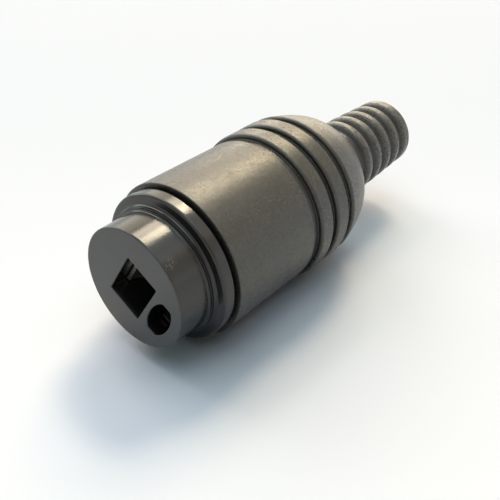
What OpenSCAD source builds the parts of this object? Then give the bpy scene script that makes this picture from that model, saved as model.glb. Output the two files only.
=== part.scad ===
// Two-pole loudspeaker cable socket: a contact carrier with two spring contacts, in a hood with a ribbed boot.
// The axis runs along +Y from the mating face at the origin to the end of the boot. Sizes are in millimetres.

/* [Nose and flange] */
// Diameter of the nose that the plug's shell covers
nose_d = 11.44; // [10.8:0.02:12]
// Length of the nose, from the mating face to the ring at its root
nose_len = 3.26; // [2.6:0.02:5]
// Bevel round the edge of the mating face
nose_edge = 0.12; // [0.05:0.01:0.3]
// Height of the root ring above the nose
ring_rise = 0.31; // [0.3:0.01:0.5]
// Radius of the cove between the nose and the root ring
ring_cove = 0.3; // [0.1:0.02:0.3]
// Length of the root ring's land
ring_len = 0.06; // [0.02:0.01:0.2]
// Radius of the cove between the root ring and the flange
flange_cove = 0.38; // [0.2:0.02:0.5]
// Diameter of the flange
flange_d = 14.04; // [13.8:0.02:16]
// Thickness of the flange at its rim
flange_t = 1.17; // [0.6:0.01:2]
// How far the front of the flange leans back from the cove to the rim
flange_lean = 0.1; // [0.02:0.02:0.3]
// Rounding of the flange's front edge
flange_edge = 0.25; // [0.1:0.01:0.3]

/* [Barrel and cradle] */
// Diameter of the barrel that the hood grips
barrel_d = 12.2; // [11.9:0.05:12.4]
// Length of the barrel behind the flange
barrel_len = 5.95; // [5.5:0.05:9]
// Chamfer at the back of the barrel and the cradle, which leads them into the hood
barrel_lead = 0.3; // [0.1:0.05:0.5]
// Length of the wiring cradle behind the barrel
cradle_len = 6.2; // [3:0.1:8]
// Wall of the cradle's rails
rail_t = 1.1; // [0.6:0.05:1.6]
// Width of each rail across the cradle
rail_w = 6.4; // [4:0.1:8]
// Thickness of the divider between the solder tags
divider_t = 0.7; // [0.4:0.05:0.9]

/* [Openings in the face] */
// Height of the blade opening, between the two leaves
blade_open_h = 3.66; // [3:0.02:3.8]
// Width of the blade opening
blade_open_w = 5.15; // [4.5:0.05:6]
// Distance of the pin opening from the axis
pin_offset = 3.44; // [3.4:0.01:3.6]
// Length of the oval pin opening, between its flat ends
pin_open_l = 4.12; // [3.9:0.02:4.4]
// Width of the pin opening at its middle
pin_open_w = 2.2; // [2:0.02:2.3]
// Width of the pin opening's flat ends
pin_end_w = 0.9; // [0.6:0.05:1.4]
// Depth of the contact chambers from the mating face
chamber_len = 9.4; // [8.6:0.1:9.6]
// Turn of the carrier about its axis, as it sits in the hood
carrier_turn = 31.5; // [0:0.5:360]

/* [Contacts] */
// Thickness of the contact strip
strip_t = 0.35; // [0.2:0.05:0.5]
// How far the leaf tips lie behind the mating face
tip_inset = 1.7; // [0.3:0.1:2.5]
// Distance from the leaf tips to the place where the leaves pinch
tip_len = 3; // [2:0.1:4.5]
// Width of the blade contact's leaves
blade_leaf_w = 4.8; // [3:0.1:4.9]
// Gap between the blade contact's leaves where they pinch
blade_pinch = 0.7; // [0.4:0.05:1.2]
// Gap between the blade contact's leaves at their flared tips
blade_flare = 2.75; // [1.6:0.05:2.8]
// Gap between the blade contact's leaves at their root
blade_root = 2; // [1.6:0.05:2.6]
// Width of the pin contact's leaves
pin_leaf_w = 1.05; // [0.7:0.05:1.05]
// Gap between the pin contact's leaves where they pinch
pin_pinch = 1.7; // [1.2:0.05:2.2]
// Gap between the pin contact's leaves at their flared tips
pin_flare = 2.9; // [2.2:0.05:3]
// Gap between the pin contact's leaves at their root
pin_root = 2.6; // [1.8:0.05:3]
// Width of the solder tags
tag_w = 1.7; // [1.4:0.05:1.8]
// Length of the solder tags behind the barrel
tag_len = 5; // [3:0.1:5.5]
// Diameter of the wire hole in the solder tags
tag_hole_d = 0.9; // [0.5:0.05:1]
// Clearance round the contacts and their tags
seat_gap = 0.08; // [0.04:0.02:0.1]

/* [Hood] */
// Outside diameter of the hood at its mouth
mouth_d = 14.8; // [14.2:0.05:17]
// Outside diameter of the sleeve where it meets the first grip groove
waist_d = 14.5; // [14.2:0.05:17]
// Outside diameter of the grip bands
grip_d = 15.14; // [14.6:0.02:18]
// Length of the sleeve, from the mouth to the first grip groove
sleeve_len = 10.38; // [8:0.02:14]
// Shadow gap between the flange and the hood's mouth
mouth_gap = 0.35; // [0.1:0.05:1]
// Rounding of the hood's mouth
mouth_edge = 0.1; // [0.05:0.05:0.4]
// Number of grip grooves
groove_count = 3; // [1:1:4]
// Width of a grip groove
groove_w = 0.8; // [0.4:0.05:1.2]
// Depth of a grip groove below the bands
groove_depth = 0.5; // [0.2:0.05:0.6]
// Rounding of the grip bands' front edges
band_edge = 0.28; // [0.1:0.02:0.4]
// Distance from one grip groove to the next
groove_pitch = 2.47; // [1.6:0.01:3.5]
// Length of the domed shoulder, from the last grip groove to its lip
shoulder_len = 4.9; // [4:0.1:8]
// Share of the shoulder's fall that is a straight taper, with the rest in the dome
shoulder_taper = 0.6; // [0.4:0.05:0.9]
// Diameter of the lip where the shoulder ends
lip_d = 10.8; // [10:0.1:12]
// Rounding of the lip
lip_edge = 0.25; // [0.1:0.05:0.4]
// Radial clearance between the barrel and the hood's bore
hood_fit = 0.05; // [0.02:0.01:0.1]
// Gap between the cradle's end and the hood's inner stop
stop_gap = 0.1; // [0.05:0.05:0.3]
// Diameter of the wiring room behind the stop
room_d = 11; // [9:0.1:11.8]

/* [Cable boot] */
// Diameter over the boot's ribs at the lip
boot_root_d = 8.3; // [8:0.02:8.8]
// Diameter over the boot's ribs at its end
boot_end_d = 7.2; // [7:0.02:8]
// Length of the boot behind the lip
boot_len = 11.7; // [11.3:0.1:16]
// Rounding of the boot's end
boot_edge = 0.3; // [0.1:0.05:0.5]
// Distance from the lip to the middle of the first relief groove
neck_len = 2.56; // [2:0.01:3]
// Number of relief grooves
relief_count = 5; // [2:1:5]
// Depth of a relief groove
relief_depth = 0.6; // [0.4:0.05:0.75]
// Distance from one relief groove to the next
relief_pitch = 1.86; // [1.4:0.01:1.87]
// Diameter of the cable hole
cable_d = 4.8; // [4:0.1:5]

/* [Hidden] */
$fn = 96;

overcut = 1;
dome_steps = 12;
dome_power = 4;
relief_steps = 12;
relief_power = 2;
leaf_steps = 8;
oval_steps = 12;
corner_steps = 4;
quarter = 90;

nose_r = nose_d / 2;
ring_r = nose_r + ring_rise;
flange_r = flange_d / 2;
barrel_r = barrel_d / 2;
ring_back = nose_len + ring_len;
flange_front = ring_back + flange_cove;
rim_front = flange_front + flange_lean;
flange_back = rim_front + flange_t;
barrel_back = flange_back + barrel_len;
cradle_back = barrel_back + cradle_len;
web_middle = (blade_open_h / 2 + pin_offset - pin_open_w / 2) / 2;

grip_r = grip_d / 2;
lip_r = lip_d / 2;
boot_root_r = boot_root_d / 2;
boot_end_r = boot_end_d / 2;
mouth_at = flange_back + mouth_gap;
grooves_at = mouth_at + sleeve_len;
shoulder_at = grooves_at + (groove_count - 1) * groove_pitch + groove_w;
lip_at = shoulder_at + shoulder_len;
// Angle of the shoulder's surface at the lip, where its dome is steepest
lip_angle = atan((grip_r - lip_r) * (shoulder_taper + dome_power * (1 - shoulder_taper)) / shoulder_len);
boot_at = lip_at + lip_edge * (1 - sin(lip_angle));
relief_at = boot_at + neck_len;
hood_back = boot_at + boot_len;
stop_at = cradle_back + stop_gap;

// Lays what is modelled along Z on the connector's axis, with the mating face towards -Y
module on_axis() {
    rotate([-quarter, 0, 0]) children();
}

// As on_axis, turned with the carrier, so that its pin side lies along local X
module on_carrier() {
    on_axis() rotate([0, 0, carrier_turn]) children();
}

// Points of a rounding about a centre, from one angle to another
function arc(centre, r, from, to) =
    [for (i = [0:corner_steps]) centre + r * [cos(from + (to - from) * i / corner_steps),
                                              sin(from + (to - from) * i / corner_steps)]];

// Radius of the shoulder at a share t of its length: a straight taper and a dome that steepens to the lip
function shoulder_r(t) =
    grip_r - (grip_r - lip_r) * (shoulder_taper * t + (1 - shoulder_taper) * pow(t, dome_power));

// Radius over the boot's ribs at a height along the axis
function boot_r(z) = boot_root_r + (boot_end_r - boot_root_r) * (z - boot_at) / boot_len;

// Share of the relief depth that is cut, u pitches from a groove's middle: a power of a cosine wave, so that the
// grooves are narrower than the ribs between them
function relief_share(u) = pow((1 + cos(360 * u)) / 2, relief_power);

// Outline of the ribbed boot, from the neck behind the lip over the ribs to the rounded end
function boot_outline() = concat(
    [[boot_root_r - relief_depth, boot_at]],
    [for (i = [0:(relief_count - 1 / 2) * relief_steps])
        let (u = i / relief_steps, z = relief_at + relief_pitch * u)
        [boot_r(z) - relief_depth * relief_share(u), z]],
    arc([boot_end_r - boot_edge, hood_back - boot_edge], boot_edge, 0, quarter));

// Outline of the hood from the axis outwards: sleeve, grip, shoulder with its lip, and boot
function hood_outline() = concat(
    [[0, mouth_at]],
    arc([mouth_d / 2 - mouth_edge, mouth_at + mouth_edge], mouth_edge, -quarter, 0),
    [[waist_d / 2, grooves_at + groove_w / 2],
     [grip_r, grooves_at + groove_w / 2]],
    [for (i = [0:dome_steps - 1]) [shoulder_r(i / dome_steps), shoulder_at + shoulder_len * i / dome_steps]],
    arc([lip_r, lip_at] - lip_edge * [cos(lip_angle), sin(lip_angle)], lip_edge, lip_angle, quarter),
    boot_outline(),
    [[0, hood_back]]);

// Hollow of the hood: bore for the barrel, wiring room behind the stop, cone, and cable hole
module hood_hollow() {
    bore_r = barrel_r + hood_fit;
    translate([0, 0, mouth_at - overcut]) cylinder(r = bore_r, h = stop_at - mouth_at + overcut);
    translate([0, 0, stop_at - overcut]) cylinder(d = room_d, h = shoulder_at - stop_at + overcut);
    translate([0, 0, shoulder_at]) cylinder(d1 = room_d, d2 = cable_d, h = boot_at - shoulder_at);
    translate([0, 0, boot_at - overcut]) cylinder(d = cable_d, h = boot_len + 2 * overcut);
}

// A grip groove: a ring with a flat floor, which leaves the band behind it with a rounded edge
module grip_groove(at) {
    floor_r = grip_r - groove_depth;
    back = at + groove_w;
    edge = min(band_edge, groove_depth);
    rotate_extrude() polygon(concat(
        [[grip_r + overcut, at], [floor_r, at], [floor_r, back]],
        arc([grip_r - edge, back + edge], edge, -quarter, 0),
        [[grip_r + overcut, back + edge]]));
}

module hood() {
    color("#38332e") on_axis() difference() {
        rotate_extrude() polygon(hood_outline());
        for (i = [0:groove_count - 1]) grip_groove(grooves_at + i * groove_pitch);
        hood_hollow();
    }
}

// Outline of the carrier's turned front: nose, root ring between two coves, flange and barrel
function carrier_outline() = concat(
    [[0, 0],
     [nose_r - nose_edge, 0],
     [nose_r, nose_edge]],
    arc([nose_r + ring_cove, nose_len - ring_cove], ring_cove, 180, quarter),
    [[ring_r, nose_len]],
    arc([ring_r + flange_cove, ring_back], flange_cove, 180, quarter),
    arc([flange_r - flange_edge, rim_front + flange_edge], flange_edge, -quarter, 0),
    [[flange_r, flange_back],
     [barrel_r, flange_back],
     [barrel_r, barrel_back - barrel_lead],
     [barrel_r - barrel_lead, barrel_back],
     [0, barrel_back]]);

// Wiring cradle: two curved rails beside the tags, joined by the divider that keeps the tags apart
module cradle() {
    intersection() {
        translate([0, 0, barrel_back - overcut]) {
            cylinder(r = barrel_r, h = cradle_len + overcut - barrel_lead);
            translate([0, 0, cradle_len + overcut - barrel_lead])
                cylinder(r1 = barrel_r, r2 = barrel_r - barrel_lead, h = barrel_lead);
        }
        union() {
            difference() {
                translate([-rail_w / 2, -barrel_r, barrel_back - overcut])
                    cube([rail_w, barrel_d, cradle_len + overcut]);
                translate([0, 0, barrel_back - overcut]) cylinder(r = barrel_r - rail_t, h = cradle_len + 2 * overcut);
            }
            translate([web_middle - divider_t / 2, -barrel_r, barrel_back - overcut])
                cube([divider_t, barrel_d, cradle_len + overcut]);
        }
    }
}

// Slot through the chamber's back wall for a solder tag whose flat faces along X
module tag_slot() {
    w = tag_w + 2 * seat_gap;
    t = strip_t + 2 * seat_gap;
    translate([-t / 2, -w / 2, chamber_len - overcut]) cube([t, w, barrel_back - chamber_len + 2 * overcut]);
}

// Moves what is modelled at the axis to the pin contact's place, with its leaves to both sides of the pin
module at_pin() {
    translate([pin_offset, 0, 0]) rotate([0, 0, quarter]) children();
}

// Outline of the pin opening: an ellipse along X, cut off where it is as wide as the flat ends
function pin_oval() = let (
    end_angle = acos(pin_end_w / pin_open_w),
    half_l = pin_open_l / 2 / sin(end_angle))
    [for (side = [1, -1]) for (i = [0:oval_steps]) let (angle = end_angle * (2 * i / oval_steps - 1))
        side * [half_l * sin(angle), -pin_open_w / 2 * cos(angle)]];

module contact_carrier() {
    color("#4a4a49") on_carrier() difference() {
        union() {
            rotate_extrude() polygon(carrier_outline());
            cradle();
        }
        translate([-blade_open_h / 2, -blade_open_w / 2, -overcut])
            cube([blade_open_h, blade_open_w, chamber_len + overcut]);
        tag_slot();
        at_pin() {
            translate([0, 0, -overcut]) linear_extrude(height = chamber_len + overcut) polygon(pin_oval());
            tag_slot();
        }
    }
}

// Unit vector, and the vector a quarter turn to its left
function unit(v) = v / norm(v);
function left(v) = [-v[1], v[0]];

// Offset direction at point i of a path, lengthened at a bend so that the strip keeps its thickness
function mitre(path, i) = let (
    before = unit(i > 0 ? path[i] - path[i - 1] : path[1] - path[0]),
    after = unit(i < len(path) - 1 ? path[i + 1] - path[i] : path[i] - path[i - 1]),
    middle = unit(left(before) + left(after)))
    middle / (middle * left(before));

// Outline of a strip of thickness t bent along a path
function strip(path, t) = concat(
    [for (i = [0:len(path) - 1]) path[i] + mitre(path, i) * t / 2],
    [for (i = [len(path) - 1:-1:0]) path[i] - mitre(path, i) * t / 2]);

// A leaf's S-shaped stretch from one gap and height to another, as half a cosine wave, without its last point
function bend(side, gap_from, gap_to, at_from, at_to) =
    [for (i = [0:leaf_steps - 1]) let (t = i / leaf_steps)
        [side * (strip_t + gap_from + (gap_to - gap_from) * (1 - cos(180 * t)) / 2) / 2,
         at_from + (at_to - at_from) * t]];

// Path of one leaf, from the flared tip over the pinch to the root, on the side given by its sign
function leaf(side, flare, pinch, root) = let (
    pinch_at = tip_inset + tip_len,
    root_at = chamber_len - seat_gap - strip_t / 2)
    concat(
        bend(side, flare, pinch, tip_inset, pinch_at),
        bend(side, pinch, root, pinch_at, root_at),
        [[side * (strip_t + root) / 2, root_at]]);

// Folded spring contact: two leaves from one strip, with a flat solder tag behind its fold
module spring_contact(leaf_w, flare, pinch, root) {
    one = leaf(1, flare, pinch, root);
    other = leaf(-1, flare, pinch, root);
    path = concat(one, [for (i = [len(other) - 1:-1:0]) other[i]]);
    tag_from = chamber_len - seat_gap - strip_t;
    tag_to = barrel_back + tag_len - tag_w / 2;
    rotate([quarter, 0, 0]) linear_extrude(height = leaf_w, center = true) polygon(strip(path, strip_t));
    difference() {
        union() {
            translate([-strip_t / 2, -tag_w / 2, tag_from]) cube([strip_t, tag_w, tag_to - tag_from]);
            translate([-strip_t / 2, 0, tag_to]) rotate([0, quarter, 0]) cylinder(d = tag_w, h = strip_t);
        }
        translate([-strip_t / 2 - overcut, 0, tag_to]) rotate([0, quarter, 0])
            cylinder(d = tag_hole_d, h = strip_t + 2 * overcut);
    }
}

module blade_contact() {
    color("#b9b4a4") on_carrier() spring_contact(blade_leaf_w, blade_flare, blade_pinch, blade_root);
}

module pin_contact() {
    color("#b9b4a4") on_carrier() at_pin() spring_contact(pin_leaf_w, pin_flare, pin_pinch, pin_root);
}

hood();
contact_carrier();
blade_contact();
pin_contact();
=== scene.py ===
"""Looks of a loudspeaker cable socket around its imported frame, piece by piece in the order of assembly."""
from math import radians
import bmesh
import bpy
import numpy as np
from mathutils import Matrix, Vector
from mathutils.geometry import delaunay_2d_cdt


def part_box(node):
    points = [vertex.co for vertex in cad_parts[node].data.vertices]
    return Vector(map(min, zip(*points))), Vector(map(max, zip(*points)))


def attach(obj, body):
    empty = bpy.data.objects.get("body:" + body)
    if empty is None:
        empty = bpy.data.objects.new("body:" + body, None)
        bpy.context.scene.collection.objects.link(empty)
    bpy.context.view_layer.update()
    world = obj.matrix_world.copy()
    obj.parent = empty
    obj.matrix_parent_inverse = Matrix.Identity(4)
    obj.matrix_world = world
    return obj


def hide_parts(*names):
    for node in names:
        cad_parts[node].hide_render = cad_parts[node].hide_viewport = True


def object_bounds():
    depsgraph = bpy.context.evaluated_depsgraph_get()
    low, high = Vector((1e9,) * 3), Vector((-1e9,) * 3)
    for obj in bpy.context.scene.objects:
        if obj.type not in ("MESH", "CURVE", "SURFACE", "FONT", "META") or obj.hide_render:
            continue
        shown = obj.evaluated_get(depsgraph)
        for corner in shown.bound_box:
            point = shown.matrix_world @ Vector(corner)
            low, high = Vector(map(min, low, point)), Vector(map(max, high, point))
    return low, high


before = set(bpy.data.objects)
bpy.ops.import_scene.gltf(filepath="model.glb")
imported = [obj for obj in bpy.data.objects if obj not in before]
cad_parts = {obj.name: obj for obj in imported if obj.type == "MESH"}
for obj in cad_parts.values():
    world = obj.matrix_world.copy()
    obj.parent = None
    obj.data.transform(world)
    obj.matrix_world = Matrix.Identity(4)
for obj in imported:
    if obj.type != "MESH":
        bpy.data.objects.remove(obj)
cad_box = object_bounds()

# Spring contacts: two strips of tin-plated brass, each punched with its solder tag and folded into a pair
# of leaves. They are pushed into the carrier until the tag stands out behind. Sizes are in millimetres.
mm = 0.001
carrier_turn = radians(31.5)
pin_offset = 3.44
strip_t = 0.35
strip_edge = 0.07
tip_at = 1.7
pinch_at = 4.7
fold_at = 9.145
fold_r = 0.5
leaf_end = fold_at - 2 * fold_r
tag_w = 1.7
tag_edge = 0.05
tag_end_flat = 0.0034
wire_hole_r = 0.45
tag_front = fold_at - strip_t / 2
tag_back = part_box("blade_contact")[1][1] / mm
blade_leaves = {"width": 4.8, "flare": 2.75, "pinch": 0.7, "root": 2.0}
pin_leaves = {"width": 1.05, "flare": 2.9, "pinch": 1.7, "root": 2.6}
# Points that agree to this many digits are one, and an edge that turns further than this stays sharp.
merge_digits = 5
sharp_turn = radians(35)
rolling_size = 0.06
rolling_stretch = (1, 30, 1)
rolling_depth = 0.004
tarnish_size = 1.2
tin_roughness = 0.34
blade_bright = (0.42, 0.41, 0.39, 1)
blade_dull = (0.30, 0.29, 0.27, 1)
# The pin's tin is painted much darker than the blade's: painted shade for the inside of its narrow opening.
pin_shaded_bright = (0.17, 0.165, 0.155, 1)
pin_shaded_dull = (0.11, 0.107, 0.10, 1)


def unit(vectors):
    """Vectors scaled to length 1."""
    return vectors / np.linalg.norm(vectors, axis=-1, keepdims=True)


def rounded(corners, closed=True, steps=6, support=0.3, least_step=1e-6):
    """Outline through corners (a, b, radius): each is swung about a centre on its bisector, from where its
    arc leaves one side to where it meets the next, and a point beyond each end keeps the sides straight.
    A corner without a radius stays one point."""
    corners = np.asarray(corners, float)
    point = corners[:, None, :2]
    radius = corners[:, None, 2:]
    back = np.roll(point, 1, 0) - point
    ahead = np.roll(point, -1, 0) - point
    if not closed:
        back[0] = -ahead[0]
        ahead[-1] = -back[-1]
    back = unit(back)
    ahead = unit(ahead)
    half = np.arccos(np.clip((back * ahead).sum(-1, keepdims=True), -1, 1)) / 2
    bisector = back + ahead
    with np.errstate(invalid="ignore", divide="ignore"):
        centre = point + unit(bisector) * radius / np.sin(half)
        reach = radius / np.tan(half)
        swing = np.pi - 2 * half
        t = np.linspace(0, 1, steps + 1)[:, None]
        arc = centre + (np.sin((1 - t) * swing) * (point + back * reach - centre)
                        + np.sin(t * swing) * (point + ahead * reach - centre)) / np.sin(swing)
    first = point + back * (reach + support * radius)
    last = point + ahead * (reach + support * radius)
    outline = np.where(radius > 0, np.concatenate([first, arc, last], 1), point).reshape(-1, 2)
    step = np.linalg.norm(outline - np.roll(outline, 1, 0), axis=1)
    return outline[step > least_step]


def directions(path, closed=True):
    """Directions along a path, halfway between those of the two sides that meet at each point."""
    sides = unit(np.roll(path, -1, 0) - path)
    if not closed:
        sides[-1] = sides[-2]
    before = np.roll(sides, 1, 0)
    if not closed:
        before[0] = sides[0]
    return unit(sides + before)


def grid_faces(rows, columns, wrap_rows=False):
    """Quads of a grid of points whose columns close on themselves, and whose rows do so where they wrap."""
    i = np.arange(rows if wrap_rows else rows - 1)[:, None]
    j = np.arange(columns)[None, :]
    below = (i + 1) % rows * columns
    right = (j + 1) % columns
    return np.stack([i * columns + j, i * columns + right, below + right, below + j], -1).reshape(-1, 4)


def folded_leaves(width, flare, pinch, root, steps=24):
    """Both leaves as one strip: a rounded section carried along the path from tip to tip, square to it.
    The gap follows a half cosine wave from flare to pinch, then another to the root, where the fold is."""
    t = np.linspace(0, 1, steps, endpoint=False)
    wave = (1 - np.cos(np.pi * t)) / 2
    gap = np.concatenate([flare + (pinch - flare) * wave, pinch + (root - pinch) * wave])
    at = np.concatenate([tip_at + (pinch_at - tip_at) * t,
                         pinch_at + (leaf_end - pinch_at) * t])
    leaf = np.column_stack([(gap + strip_t) / 2, at, 0 * at])
    corner = [[(root + strip_t) / 2, fold_at, fold_r]]
    half = np.concatenate([leaf, corner])
    path = rounded(np.concatenate([half, half[::-1] * [-1, 1, 1]]), closed=False)
    section = rounded([[side * strip_t / 2, end * width / 2, strip_edge]
                       for side, end in ((1, -1), (1, 1), (-1, 1), (-1, -1))], steps=3)
    along = directions(path, closed=False)
    square = np.column_stack([-along[:, 1], along[:, 0]])
    place = path[:, None] + square[:, None] * section[None, :, :1]
    points = np.stack([place[..., 0], np.broadcast_to(section[:, 1], place.shape[:2]), place[..., 1]], -1)
    rows, columns = points.shape[:2]
    ends = np.arange(columns)[None] + np.array([[0], [(rows - 1) * columns]])
    return points.reshape(-1, 3), [grid_faces(rows, columns), ends]


def solder_tag():
    """Flat tag with a round end and a wire hole: a closed section of eight corners, carried round the hole
    between the hole's edge and the tag's outline, along the rays from the hole's middle."""
    middle = np.array([0, tag_back - tag_w / 2])
    half = tag_w / 2
    end_r = half - tag_end_flat / 2
    outline = rounded([[-half, tag_front, tag_edge], [half, tag_front, tag_edge],
                       [half, tag_back, end_r], [-half, tag_back, end_r]], steps=16)
    ray = outline - middle
    reach = np.linalg.norm(ray, axis=1)
    near = np.full_like(reach, wire_hole_r)
    radius = np.stack([near, near, near + tag_edge, reach - tag_edge,
                       reach, reach, reach - tag_edge, near + tag_edge])
    flat = strip_t / 2
    rim = flat - tag_edge
    height = np.array([-rim, rim, flat, flat, rim, -rim, -flat, -flat])
    place = middle + unit(ray) * radius[..., None]
    points = np.stack([np.broadcast_to(height[:, None], radius.shape), place[..., 0], place[..., 1]], -1)
    return points.reshape(-1, 3), [grid_faces(*radius.shape, wrap_rows=True)]


def at_pin(shell):
    """The shell moved from the axis to the pin opening, and turned so that its leaves stand at the ends."""
    points, faces = shell
    return np.column_stack([pin_offset - points[:, 1], points[:, 0], points[:, 2]]), faces


def on_axis(points, turn):
    """Points given as (across, across, depth), brought into the frame: turned, and with depth along +Y."""
    x, y, z = points.T
    c, s = np.cos(turn), np.sin(turn)
    return np.column_stack([x * c - y * s, z, -x * s - y * c])


def make_piece(name, shells, turn, material, body):
    """One mesh that stands for the node of its name, from shells of points and faces: points that meet are
    merged, faces turned outwards, and only edges that turn further than a rounding's steps left sharp."""
    points = np.concatenate([shell[0] for shell in shells])
    starts = np.cumsum([0] + [len(shell[0]) for shell in shells])
    places = np.round(points, merge_digits)
    first, index = np.unique(places, axis=0, return_index=True, return_inverse=True)[1:]
    index = index.ravel()
    corners = [index[start + array] for start, shell in zip(starts, shells) for array in shell[1]]
    faces = [face for array in corners for face in array.tolist()]
    mesh = bpy.data.meshes.new(name)
    mesh.from_pydata(on_axis(points[first], turn) * mm, [], faces)
    mesh.validate()
    work = bmesh.new()
    work.from_mesh(mesh)
    bmesh.ops.recalc_face_normals(work, faces=work.faces)
    work.to_mesh(mesh)
    work.free()
    mesh.shade_smooth()
    mesh.set_sharp_from_angle(angle=sharp_turn)
    mesh.materials.append(material)
    piece = bpy.data.objects.new(name + "_look", mesh)
    bpy.context.scene.collection.objects.link(piece)
    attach(piece, body)
    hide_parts(name)


class Socket:
    """A shader socket that takes part in Python expressions, each operator adding its Math node."""

    def __init__(self, tree, out):
        self.tree = tree
        self.out = out

    def node(self, kind, settings=None, output=0, **inputs):
        """Adds a node of any type: its settings, then its sockets' values or links by name or number."""
        made = self.tree.nodes.new(kind)
        for name, value in (settings or {}).items():
            setattr(made, name, value)
        for name, value in inputs.items():
            key = int(name[1:]) if name[1:].isdigit() else name.replace("_", " ")
            if isinstance(value, Socket):
                self.tree.links.new(value.out, made.inputs[key])
            else:
                made.inputs[key].default_value = value
        return Socket(self.tree, made.outputs[output])

    def math(self, operation, a, b):
        """One Math node on two values or Sockets."""
        return self.node("ShaderNodeMath", {"operation": operation}, _0=a, _1=b)

    def either(self, other):
        """The larger of two shares."""
        return self.math("MAXIMUM", self, other)

    def __add__(self, other):
        return self.math("ADD", self, other)

    def __radd__(self, other):
        return self.math("ADD", other, self)

    def __sub__(self, other):
        return self.math("SUBTRACT", self, other)

    def __rsub__(self, other):
        return self.math("SUBTRACT", other, self)

    def __mul__(self, other):
        return self.math("MULTIPLY", self, other)

    def __rmul__(self, other):
        return self.math("MULTIPLY", other, self)

    def part(self, axis):
        """One of a place's coordinates, in millimetres."""
        return self.node("ShaderNodeSeparateXYZ", None, axis, Vector=self) * (1 / mm)

    def distance(self, place, stretch):
        """Distance from a place, in millimetres, with each axis scaled by a stretch."""
        middle = tuple(v * mm for v in place)
        away = self.node("ShaderNodeVectorMath", {"operation": "SUBTRACT"}, _0=self, _1=middle)
        drawn = self.node("ShaderNodeVectorMath", {"operation": "MULTIPLY"}, _0=away, _1=stretch)
        return self.node("ShaderNodeVectorMath", {"operation": "LENGTH"}, "Value", _0=drawn) * (1 / mm)

    def between(self, low, high):
        """Share from 0 to 1 of the way from low to high."""
        smooth = {"interpolation_type": "SMOOTHSTEP"}
        return self.node("ShaderNodeMapRange", smooth, _0=self, _1=low, _2=high)

    def noise(self, size, detail=2.0, stretch=(1, 1, 1)):
        """Noise at this place, with features of a size in millimetres, each axis drawn out by a stretch."""
        scale = tuple(1 / (size * mm * s) for s in stretch)
        place = self.node("ShaderNodeMapping", Vector=self, Scale=scale)
        return self.node("ShaderNodeTexNoise", Vector=place, Scale=1.0, Detail=detail)

    def blend(self, low, high):
        """The colour that lies this share of the way from low to high."""
        return self.node("ShaderNodeMix", {"data_type": "RGBA"}, 2, _0=self, _6=low, _7=high)

    def bump(self, depth):
        """The normal of a surface that rises by this share of a depth in millimetres."""
        return self.node("ShaderNodeBump", Height=self, Distance=depth * mm, Strength=1.0)

    def seen(self):
        """1 for rays that come from the camera, a mirror image or through glass, and 0 for the rest."""
        camera, glossy, transmission = [self.node("ShaderNodeLightPath", None, "Is " + kind + " Ray")
                                        for kind in ("Camera", "Glossy", "Transmission")]
        return camera.either(glossy.either(transmission))


def new_material(name, **constants):
    """A material whose shader takes the constants, and a Socket of Object coordinates to start from."""
    material = bpy.data.materials.new(name)
    material.use_nodes = True
    tree = material.node_tree
    shader = tree.nodes["Principled BSDF"]
    for key, value in constants.items():
        shader.inputs[key.replace("_", " ")].default_value = value
    return material, shader, Socket(tree, tree.nodes.new("ShaderNodeTexCoord").outputs["Object"])


def feed(shader, **inputs):
    """Links Sockets to the shader's inputs by name."""
    for key, value in inputs.items():
        value.tree.links.new(value.out, shader.inputs[key.replace("_", " ")])


def tin_plate(name, bright, dull):
    """Tin with fine rolling marks along the strip, and patches where it has gone from bright to dull."""
    tin, shader, place = new_material(name, Metallic=1.0)
    rolling = place.noise(rolling_size, stretch=rolling_stretch)
    tarnish = place.noise(tarnish_size, detail=4.0).between(0.4, 0.75)
    feed(shader,
         Base_Color=tarnish.blend(bright, dull),
         Roughness=tin_roughness + 0.14 * tarnish + 0.08 * rolling,
         Normal=rolling.bump(rolling_depth))
    return tin


blade_tin = tin_plate("blade_tin", blade_bright, blade_dull)
pin_shaded_tin = tin_plate("pin_shaded_tin", pin_shaded_bright, pin_shaded_dull)
blade_shells = [folded_leaves(**blade_leaves), solder_tag()]
pin_shells = [at_pin(folded_leaves(**pin_leaves)), at_pin(solder_tag())]
make_piece("blade_contact", blade_shells, carrier_turn, blade_tin, "insert")
make_piece("pin_contact", pin_shells, carrier_turn, pin_shaded_tin, "insert")

# Contact carrier: one hard moulding of black plastic from a polished mould. It has a turned-looking front
# with nose, root ring, flange and barrel, two contact chambers, and a wiring cradle of rails and a divider.
nose_r = 5.72
nose_edge = 0.12
nose_root = 0.2
face_r = 5.5
ring_r = 6.03
ring_front = 3.26
ring_edge = 0.035
ring_root = 0.28
flange_front = 3.7
rim_front = 3.8
flange_edge = 0.25
flange_back_edge = 0.06
barrel_r = 6.1
barrel_len = 5.95
barrel_root = 0.05
barrel_lead = 0.25
cradle_len = 6.2
flange_r, cradle_back = [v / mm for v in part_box("contact_carrier")[1][:2]]
barrel_back = cradle_back - cradle_len
flange_back = barrel_back - barrel_len
wall_r = 5.5
chamber_back = 9.4
blade_open = (3.66, 5.15)
blade_corner = 0.14
pin_open = (2.2, 4.12)
pin_end_w = 0.9
pin_corner = 0.12
opening_edge = 0.07
slot_size = (0.51, 1.86)
slot_corner = 0.06
rail_in_r = 5.0
rail_half = 3.2
rail_corner = 0.15
rail_in_corner = 0.12
divider = (1.735, 2.435)
cradle_sink = 0.22
cradle_edge = 0.1
turned_count = 240
frame_origin = (0, 0, 0)
across_axis = (1, 0, 1)
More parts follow.
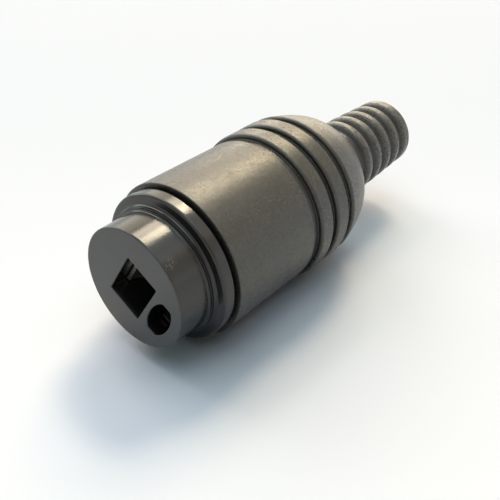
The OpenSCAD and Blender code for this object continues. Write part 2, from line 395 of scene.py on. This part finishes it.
# Sizes of the marks of moulding, and how far each painted shade, the paler face and the scuff take to fade
# in.
cloud_size = 2.5
peel_size = 0.15
peel_depth = 0.005
face_skin = 0.02
chamber_fade = (0.05, 0.5)
barrel_fade = 0.2
step_fade = 0.3
rim_fade = 0.1
scuff_at = (3.95, 0.7, 4.15)
scuff_stretch = (1, 0.8, 1)
scuff_core = 0.1
scuff_r = 0.75
scuff_size = 0.2
carrier_roughness = 0.16
mould_black = (0.028, 0.026, 0.022, 1)
mould_cloud = (0.036, 0.034, 0.029, 1)
face_grey = (0.066, 0.069, 0.065, 1)
scuff_grey = (0.16, 0.155, 0.145, 1)
shade_black = (0.014, 0.013, 0.012, 1)


def turned(profile, wrap=False):
    """Surface of revolution: the profile's (radius, depth) at each of the angles round the axis."""
    angle = np.arange(turned_count) * 2 * np.pi / turned_count
    r, z = profile[:, :1], profile[:, 1:]
    points = np.stack([r * np.cos(angle), r * np.sin(angle), z + 0 * angle], -1)
    return points.reshape(-1, 3), [grid_faces(len(profile), turned_count, wrap)]


def circle(r):
    """Outline of a circle, with the same angles as a turned surface."""
    angle = np.arange(turned_count) * 2 * np.pi / turned_count
    return np.column_stack([r * np.cos(angle), r * np.sin(angle)])


def box_outline(size, corner, middle=(0, 0)):
    """Outline of a rectangle with rounded corners."""
    a, b = np.array(size) / 2
    return rounded([[-a, -b, corner], [a, -b, corner], [a, b, corner], [-a, b, corner]]) + middle


def pin_outline(steps=24):
    """Outline of the pin opening: an ellipse with its ends cut off flat, and those corners rounded."""
    width, length = pin_open
    end = np.arccos(pin_end_w / width)
    angle = np.linspace(-end, end, steps + 1)
    reach = length / 2 / np.sin(end)
    side = np.column_stack([width / 2 * np.cos(angle), reach * np.sin(angle), 0 * angle])
    side[[0, -1], 2] = pin_corner
    return rounded(np.concatenate([side, side * [-1, -1, 1]])) + [pin_offset, 0]


def wall(outline, rows):
    """Wall round an outline: it is moved outwards by each row's offset, at that row's depth."""
    along = directions(outline)
    out = np.column_stack([along[:, 1], -along[:, 0]])
    offset, depth = np.array(rows, float).T[:, :, None]
    place = outline + out * offset[..., None]
    points = np.concatenate([place, np.broadcast_to(depth[..., None], place.shape[:2] + (1,))], -1)
    return points.reshape(-1, 3), [grid_faces(len(rows), len(outline))]


def inside(outline, points):
    """Whether each point lies in a closed outline: the ray from it along the first axis crosses an odd
    number of the outline's sides."""
    a = outline
    b = np.roll(outline, -1, 0)
    x, y = points[:, :1], points[:, 1:]
    spans = (a[:, 1] > y) != (b[:, 1] > y)
    with np.errstate(invalid="ignore", divide="ignore"):
        crossing = a[:, 0] + (y - a[:, 1]) * (b[:, 0] - a[:, 0]) / (b[:, 1] - a[:, 1])
    return (spans & (x < crossing)).sum(1) % 2 == 1


def flat_fill(depth, rim, *holes, least_gap=1e-7):
    """Flat face at a depth, inside the rim and outside the holes: Delaunay triangles between outlines."""
    loops = (rim,) + holes
    starts = np.cumsum([0] + [len(loop) for loop in loops])
    edges = [np.column_stack([np.arange(len(loop)), (np.arange(len(loop)) + 1) % len(loop)]) + start
             for start, loop in zip(starts, loops)]
    corners = [Vector(corner) for corner in np.concatenate(loops).tolist()]
    made = delaunay_2d_cdt(corners, np.concatenate(edges).tolist(), [], 0, least_gap)
    flat = np.array(made[0])
    faces = np.array(made[2])
    middles = flat[faces].mean(1)
    keep = inside(rim, middles) & ~np.any([inside(hole, middles) for hole in holes] or [False], axis=0)
    return np.column_stack([flat, np.full(len(flat), depth)]), [faces[keep]]


def opening_rows(edge, back, support=0.4, steps=5):
    """Offsets and depths of an opening's wall: a quarter round from the face, then straight to the back.
    A row beyond each end of the round keeps the face and the wall flat."""
    t = np.linspace(0, np.pi / 2, steps + 1)
    beyond = edge * (1 + support)
    round_rows = np.column_stack([edge * (1 - np.sin(t)), edge * (1 - np.cos(t))])
    return np.concatenate([[[beyond, 0]], round_rows, [[0, beyond], [0, back]]])


def cradle_outline():
    """Outline of the cradle: outer and inner arcs of two rails across the axis, and the divider's sides."""
    def arc(r, from_x, to_x, sign, corner, steps=24):
        """Arc about the axis between two places across it, above or below by its sign."""
        angle = np.linspace(np.arcsin(from_x / r), np.arcsin(to_x / r), steps)
        points = np.column_stack([r * np.sin(angle), sign * r * np.cos(angle), 0 * angle])
        points[[0, -1], 2] = corner
        return points
    left, right = divider
    return rounded(np.concatenate([
        arc(barrel_r, rail_half, -rail_half, 1, rail_corner),
        arc(rail_in_r, -rail_half, left, 1, rail_in_corner),
        arc(rail_in_r, left, -rail_half, -1, rail_in_corner),
        arc(barrel_r, -rail_half, rail_half, -1, rail_corner),
        arc(rail_in_r, rail_half, right, -1, rail_in_corner),
        arc(rail_in_r, right, rail_half, 1, rail_in_corner)]), steps=4, support=0.2)


front_profile = rounded([
    [face_r, 0, 0],
    [nose_r, 0, nose_edge], [nose_r, ring_front, nose_root],
    [ring_r, ring_front, ring_edge], [ring_r, flange_front, ring_root],
    [flange_r, rim_front, flange_edge], [flange_r, flange_back, flange_back_edge],
    [barrel_r, flange_back, barrel_root], [barrel_r, barrel_back, barrel_lead],
    [wall_r, barrel_back, 0]], closed=False)
blade_hole = box_outline(blade_open, blade_corner)
pin_hole = pin_outline()
hole_rows = opening_rows(opening_edge, chamber_back)
blade_wall = wall(blade_hole, hole_rows)
pin_wall = wall(pin_hole, hole_rows)
face_holes = [blade_wall[0][:len(blade_hole), :2], pin_wall[0][:len(pin_hole), :2]]
blade_slot = box_outline(slot_size, slot_corner)
pin_slot = box_outline(slot_size[::-1], slot_corner, (pin_offset, 0))
slot_rows = [[0, chamber_back], [0, barrel_back]]
cradle = cradle_outline()
quarter = np.linspace(0, np.pi / 2, 5)
cradle_end = np.column_stack([cradle_edge * (np.cos(quarter) - 1),
                              cradle_back + cradle_edge * (np.sin(quarter) - 1)])
cradle_wall = wall(cradle, np.concatenate([[[0, barrel_back - cradle_sink]], cradle_end]))
cradle_tip = cradle_wall[0][-len(cradle):, :2]
carrier_shells = [
    turned(front_profile),
    flat_fill(0, circle(face_r), *face_holes),
    blade_wall, pin_wall,
    flat_fill(chamber_back, blade_hole, blade_slot),
    flat_fill(chamber_back, pin_hole, pin_slot),
    wall(blade_slot, slot_rows), wall(pin_slot, slot_rows),
    flat_fill(barrel_back, circle(wall_r), blade_slot, pin_slot),
    cradle_wall,
    flat_fill(cradle_back, cradle_tip),
    flat_fill(barrel_back - cradle_sink, cradle)]
carrier_black, carrier_shader, carrier_place = new_material("carrier_plastic", IOR=1.52)
cloud = carrier_place.noise(cloud_size, detail=3.0).between(0.3, 0.7)
orange_peel = carrier_place.noise(peel_size)
off_axis = carrier_place.distance(frame_origin, across_axis)
depth = carrier_place.part(1)
# Painted shade: the chambers, the step between nose and flange, and the barrel behind the flange are
# darkened in colour.
in_chamber = depth.between(*chamber_fade) * (1 - off_axis.between(rail_in_r, wall_r))
on_barrel = depth.between(flange_back - barrel_fade, flange_back)
past_nose = depth.between(ring_front - step_fade, ring_front)
in_step = past_nose * (1 - depth.between(flange_front, rim_front + rim_fade))
shaded = in_chamber.either(in_step).either(on_barrel)
scuffed = 1 - carrier_place.distance(scuff_at, scuff_stretch).between(scuff_core, scuff_r)
scuff = scuffed * carrier_place.noise(scuff_size, detail=4.0).between(0.45, 0.7)
on_face = 1 - depth.between(face_skin, nose_edge)
plain_black = cloud.blend(mould_black, mould_cloud)
face_black = on_face.blend(plain_black, face_grey)
worn_black = scuff.blend(face_black, scuff_grey)
feed(carrier_shader,
     Base_Color=shaded.blend(worn_black, shade_black),
     Roughness=carrier_roughness + 0.06 * cloud + 0.2 * scuff + 0.16 * on_face,
     Normal=orange_peel.bump(peel_depth))
make_piece("contact_carrier", carrier_shells, carrier_turn, carrier_black, "insert")

# Hood: one softer moulding of black plastic with a fine spark-eroded grain, pushed over the barrel from
# behind. Its sleeve has three grip grooves, its domed shoulder ends in a lip, and its boot is ribbed.
hood_low, hood_high = [np.array(corner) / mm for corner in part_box("hood")]
mouth_at = hood_low[1]
boot_back = hood_high[1]
grip_r = hood_high[0]
mouth_r = 7.4
waist_r = 7.25
bore_r = 6.15
bore_edge = 0.12
mouth_edge = 0.1
sleeve_len = 10.38
sleeve_edge = 0.06
groove_at = mouth_at + sleeve_len
groove_pitch = 2.47
groove_w = 0.8
groove_depth = 0.5
groove_count = 3
groove_front_root = 0.05
groove_back_root = 0.08
band_edge = 0.28
band_back_edge = 0.1
shoulder_at = groove_at + (groove_count - 1) * groove_pitch + groove_w
shoulder_len = 4.9
shoulder_taper = 0.6
dome_power = 4
dome_span = (0.09, 0.93)
lip_r = 5.4
lip_edge = 0.22
boot_len = 11.7
boot_at = boot_back - boot_len
boot_root_r = 4.15
boot_end_r = 3.6
boot_slope = (boot_end_r - boot_root_r) / boot_len
boot_edge = 0.3
neck_len = 2.56
neck_root = 0.25
relief_at = boot_at + neck_len
relief_pitch = 1.86
relief_depth = 0.6
relief_count = 5
relief_power = 2
cable_r = 2.4
cable_edge = 0.25
room_r = 5.5
room_corner = 0.3
cradle_gap = 0.1
stop_at = cradle_back + cradle_gap
stop_edge = 0.1
# Sizes of the grain, and how far from its edge each painted shade, and the paler boot, begins and is
# complete.
grain_size = 0.07
cell_size = 0.2
grain_depth = 0.014
blotch_size = 2.0
mouth_skin = (0.02, 0.1)
mouth_rim = (0.5, 0.2)
sleeve_fade = (0.02, 0.05)
shoulder_fade = 0.1
groove_shade = (0.4, 0.1)
neck_fade = 0.7
relief_shade = (0.15, 0.65)
boot_fade = (0.5, 1.5)
hood_roughness = 0.305
hood_grey = (0.052, 0.048, 0.035, 1)
blotch_grey = (0.064, 0.059, 0.044, 1)
boot_grey = (0.138, 0.128, 0.104, 1)
speck_grey = (0.086, 0.079, 0.059, 1)
pit_grey = (0.044, 0.041, 0.031, 1)
painted_shade_black = (0.022, 0.020, 0.017, 1)


def boot_ribs(steps=24):
    """Boot's ribs: its taper less a power of a cosine wave, from the middle of the first groove to the
    collar at the end."""
    u = np.arange((relief_count - 0.5) * steps + 1) / steps
    z = relief_at + relief_pitch * u
    wave = (1 + np.cos(2 * np.pi * u)) / 2
    taper = boot_root_r + boot_slope * (z - boot_at)
    return np.column_stack([taper - relief_depth * wave ** relief_power, z, 0 * z])


def shoulder(steps=36):
    """Shoulder's dome: a straight taper and a power of the way along it, up to the lip's rounding."""
    t = np.linspace(*dome_span, steps)
    fall = (grip_r - lip_r) * (shoulder_taper * t + (1 - shoulder_taper) * t ** dome_power)
    return np.column_stack([grip_r - fall, shoulder_at + shoulder_len * t, 0 * t])


def grip_groove(number):
    """Corners of a grip groove: down from the sleeve, or from the band before it, along the groove's floor,
    and up to the band behind it."""
    front = groove_at + number * groove_pitch
    back = front + groove_w
    floor_r = grip_r - groove_depth
    before = [grip_r, front, band_back_edge] if number else [waist_r, front, sleeve_edge]
    return [before, [floor_r, front, groove_front_root],
            [floor_r, back, groove_back_root], [grip_r, back, band_edge]]


grooves = [grip_groove(number) for number in range(groove_count)]
lip_slope = (grip_r - lip_r) * (shoulder_taper + dome_power * (1 - shoulder_taper)) / shoulder_len
lip_corner_r = lip_r - lip_slope * (boot_at - shoulder_at - shoulder_len)
hood_profile = rounded(np.concatenate([
    [[bore_r, mouth_at, bore_edge], [mouth_r, mouth_at, mouth_edge]],
    *grooves,
    shoulder(),
    [[lip_corner_r, boot_at, lip_edge], [boot_root_r - relief_depth, boot_at, neck_root]],
    boot_ribs(),
    [[boot_end_r, boot_back, boot_edge], [cable_r, boot_back, cable_edge],
     [cable_r, boot_at, room_corner], [room_r, shoulder_at, room_corner],
     [room_r, stop_at, stop_edge], [bore_r, stop_at, stop_edge]]]))
hood_black, hood_shader, hood_place = new_material("hood_plastic", IOR=1.62)
grain = hood_place.noise(grain_size, detail=1.0)
cell_scale = 1 / (cell_size * mm)
cells = hood_place.node("ShaderNodeTexVoronoi", None, "Color", Vector=hood_place, Scale=cell_scale)
cell_value = cells.node("ShaderNodeSeparateColor", Color=cells)
specks = cell_value.between(0.6, 1.0)
pits = 1 - cell_value.between(0.0, 0.3)
blotch = hood_place.noise(blotch_size, detail=5.0).between(0.32, 0.68)
from_axis = hood_place.distance(frame_origin, across_axis)
along_hood = hood_place.part(1)
# Painted shade: the gap inside the mouth, the grip grooves' floors and the boot's grooves are darkened in
# colour.
past_mouth = along_hood.between(mouth_at + mouth_skin[0], mouth_at + mouth_skin[1])
at_rim = from_axis.between(mouth_r - mouth_rim[0], mouth_r - mouth_rim[1])
in_mouth = (1 - past_mouth) * (1 - at_rim)
past_sleeve = along_hood.between(groove_at - sleeve_fade[0], groove_at + sleeve_fade[1])
past_grip = along_hood.between(shoulder_at - shoulder_fade, shoulder_at)
on_band = from_axis.between(grip_r - groove_shade[0], grip_r - groove_shade[1])
in_grip = past_sleeve * (1 - past_grip) * (1 - on_band)
sunk = boot_root_r + boot_slope * (along_hood - boot_at) - from_axis
past_neck = along_hood.between(relief_at - neck_fade, relief_at)
in_relief = past_neck * sunk.between(relief_shade[0] * relief_depth, relief_shade[1] * relief_depth)
painted_hood_shade = in_mouth.either(in_grip).either(in_relief)
on_boot = along_hood.between(boot_at - boot_fade[0], boot_at + boot_fade[1])
plain_grey = on_boot.blend(blotch.blend(hood_grey, blotch_grey), boot_grey)
specked = specks.blend(plain_grey, speck_grey)
pitted = pits.blend(specked, pit_grey)
feed(hood_shader,
     Base_Color=painted_hood_shade.blend(pitted, painted_shade_black),
     Roughness=hood_roughness + 0.05 * blotch - 0.06 * specks + 0.08 * pits,
     Normal=(grain + 0.5 * specks - 0.5 * pits).bump(grain_depth))
make_piece("hood", [turned(hood_profile, wrap=True)], 0.0, hood_black, "hood")

# Table: a plain sheet of white board that the connector lies on. It keeps the shadow near the connector,
# and further out it fades into the white of the horizon, so that no edge shows from any side.
table_top = cad_box[0][2]
table_half = 3000 * mm
table_mesh = bpy.data.meshes.new("table")
table_signs = ((-1, -1), (1, -1), (1, 1), (-1, 1))
table_corners = [(x * table_half, y * table_half, table_top) for x, y in table_signs]
table_mesh.from_pydata(table_corners, [], [(0, 1, 2, 3)])
table = bpy.data.objects.new("table", table_mesh)
bpy.context.scene.collection.objects.link(table)
table_near = (0.95, 0.96, 1.0, 1)
table_far = (0.82, 0.84, 0.90, 1)
table_shade = (0.44, 0.47, 0.51, 1)
view_way = (-0.65, 0.76, 0)
across_table = (1, 1, 0)
near_end = -25
far_start = 60
haze_white = (0.93, 0.94, 0.95, 1)
black = (0, 0, 0, 1)
fade_start = 120
fade_end = 500
table_white, table_shader, table_place = new_material(
    "table_white", Roughness=1.0, Specular_IOR_Level=0.0, Emission_Strength=1.0)
dot = {"operation": "DOT_PRODUCT"}
along_view = table_place.node("ShaderNodeVectorMath", dot, "Value", _0=table_place, _1=view_way) * (1 / mm)
pale = along_view.between(near_end, far_start).blend(table_near, table_far)
table_seen = table_place.seen()
faded = table_seen * table_place.distance(frame_origin, across_table).between(fade_start, fade_end)
lit = table_seen.blend(table_shade, pale)
feed(table_shader, Base_Color=faded.blend(lit, black), Emission_Color=faded.blend(black, haze_white))
table_white.cycles.emission_sampling = "NONE"
table_mesh.materials.append(table_white)

# Light: a room that is seen directly and in mirror images, but that hardly lights anything by itself. Warm
# windows stand behind, mostly on the left, with a lamp and a bluish ceiling above and dimmer walls around.
sky_dim = (0.006, 0.006, 0.006, 1)
room_warm = (0.62, 0.55, 0.46, 1)
haze_top = 0.15
room_start = 0.45
lit_middle = Vector((0, 18 * mm, 0))
world = bpy.data.worlds.new("sky")
bpy.context.scene.world = world
world.use_nodes = True
sky_tree = world.node_tree
sky_way = Socket(sky_tree, sky_tree.nodes.new("ShaderNodeTexCoord").outputs["Generated"])
sky_height = sky_way.node("ShaderNodeSeparateXYZ", None, 2, Vector=sky_way)
room = sky_height.between(haze_top, room_start).blend(haze_white, room_warm)
feed(sky_tree.nodes["Background"], Color=sky_way.seen().blend(sky_dim, room))


def soft_light(name, direction, distance, size, radiance, colour):
    """An area light of a width and height in metres, at a distance in a direction from the connector and
    facing it. Its energy is its area times its radiance times pi."""
    data = bpy.data.lights.new(name, "AREA")
    data.shape = "RECTANGLE"
    data.size, data.size_y = size
    data.energy = radiance * np.pi * size[0] * size[1]
    data.color = colour
    light = bpy.data.objects.new(name, data)
    light.location = lit_middle + Vector(direction).normalized() * distance
    light.rotation_euler = (lit_middle - light.location).to_track_quat("-Z", "Y").to_euler()
    bpy.context.scene.collection.objects.link(light)


soft_light("window", (-0.21, 0.57, 0.79), 2.0, (0.46, 0.34), 24.0, (1.0, 0.86, 0.62))
soft_light("far_window", (-0.44, 0.55, 0.71), 2.0, (0.40, 0.45), 10.5, (1.0, 0.86, 0.68))
soft_light("low_window", (-0.26, 0.74, 0.62), 2.0, (0.6, 0.46), 8.6, (1.0, 0.77, 0.45))
soft_light("left_window", (-0.7, 0.1, 0.7), 2.0, (1.0, 1.0), 3.5, (1.0, 0.90, 0.94))
soft_light("lamp", (0, 0, 1), 1.8, (1.08, 1.08), 1.0, (1.0, 0.96, 0.86))
soft_light("ceiling", (0, 0, 1), 2.0, (3.0, 3.0), 0.91, (0.62, 0.85, 1.0))
soft_light("left_wall", (-0.97, -0.05, 0.3), 2.0, (1.2, 0.9), 2.0, (0.74, 1.0, 0.90))
soft_light("left_back_wall", (-0.74, 0.58, 0.38), 2.0, (1.0, 1.1), 1.7, (1.0, 0.89, 0.72))
soft_light("back_wall", (-0.46, 0.87, 0.15), 2.0, (1.3, 0.6), 3.8, (1.0, 0.85, 0.60))
soft_light("right_window", (0.34, 0.62, 0.7), 2.0, (0.8, 0.5), 0.5, (1.0, 0.88, 0.72))
soft_light("right_wall", (0.62, 0.62, 0.45), 2.0, (1.5, 1.2), 0.28, (1.0, 0.94, 0.9))

# Camera: a close view from the front right and above. Its place, direction and focal length were fitted to
# the circles of the nose, flange, hood and grooves in the photograph.
camera_place = (0.041636, -0.033648, 0.041352)
camera_azimuth = 40.497
camera_elevation = 35.352
camera_data = bpy.data.cameras.new("camera")
camera_data.sensor_width = 36.0
camera_data.lens = 57.546
camera_data.clip_start = 0.001
camera = bpy.data.objects.new("camera", camera_data)
camera.location = camera_place
camera.rotation_euler = (radians(90 - camera_elevation), 0, radians(camera_azimuth))
bpy.context.scene.collection.objects.link(camera)
bpy.context.scene.camera = camera

bpy.context.scene.view_settings.view_transform = "Standard"
